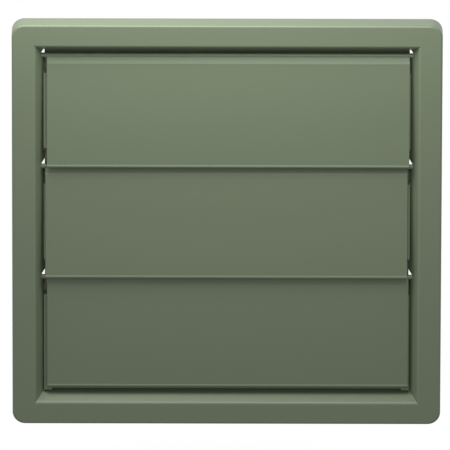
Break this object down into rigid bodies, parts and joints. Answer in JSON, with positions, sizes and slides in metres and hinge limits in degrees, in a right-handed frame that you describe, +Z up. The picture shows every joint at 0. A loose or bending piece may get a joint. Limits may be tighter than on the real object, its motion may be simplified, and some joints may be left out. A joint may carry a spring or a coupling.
{
  "type": "gravity vent",
  "caption": "Square louvred gravity vent: moulded face frame with a round duct spigot behind and top-hung flaps that swing open outward.",
  "frame": {"origin": "on the duct's axis, in the plane of the wall that the frame's back lies on", "axes": "+Y into the wall along the duct, +Z up, +X to the right seen from the front"},
  "size_m": [0.17, 0.0379, 0.17],
  "materials": {
    "frame_plastic": "satin moulded",
    "flap_plastic": "satin moulded"
  },
  "bodies": {
    "frame": {"frame": "frame_plastic"},
    "flap_top": {"flap_top": "flap_plastic"},
    "flap_middle": {"flap_middle": "flap_plastic"},
    "flap_bottom": {"flap_bottom": "flap_plastic"}
  },
  "joints": [
    {"name": "flap_top_swing", "type": "hinge", "parent": "frame", "child": "flap_top", "pos_m": [0, -0.0029, 0.0706], "axis": [-1, 0, 0], "range_deg": [0, 55]},
    {"name": "flap_middle_swing", "type": "hinge", "parent": "frame", "child": "flap_middle", "pos_m": [0, -0.0029, 0.02347], "axis": [-1, 0, 0], "range_deg": [0, 55]},
    {"name": "flap_bottom_swing", "type": "hinge", "parent": "frame", "child": "flap_bottom", "pos_m": [0, -0.0029, -0.02367], "axis": [-1, 0, 0], "range_deg": [0, 55]}
  ]
}
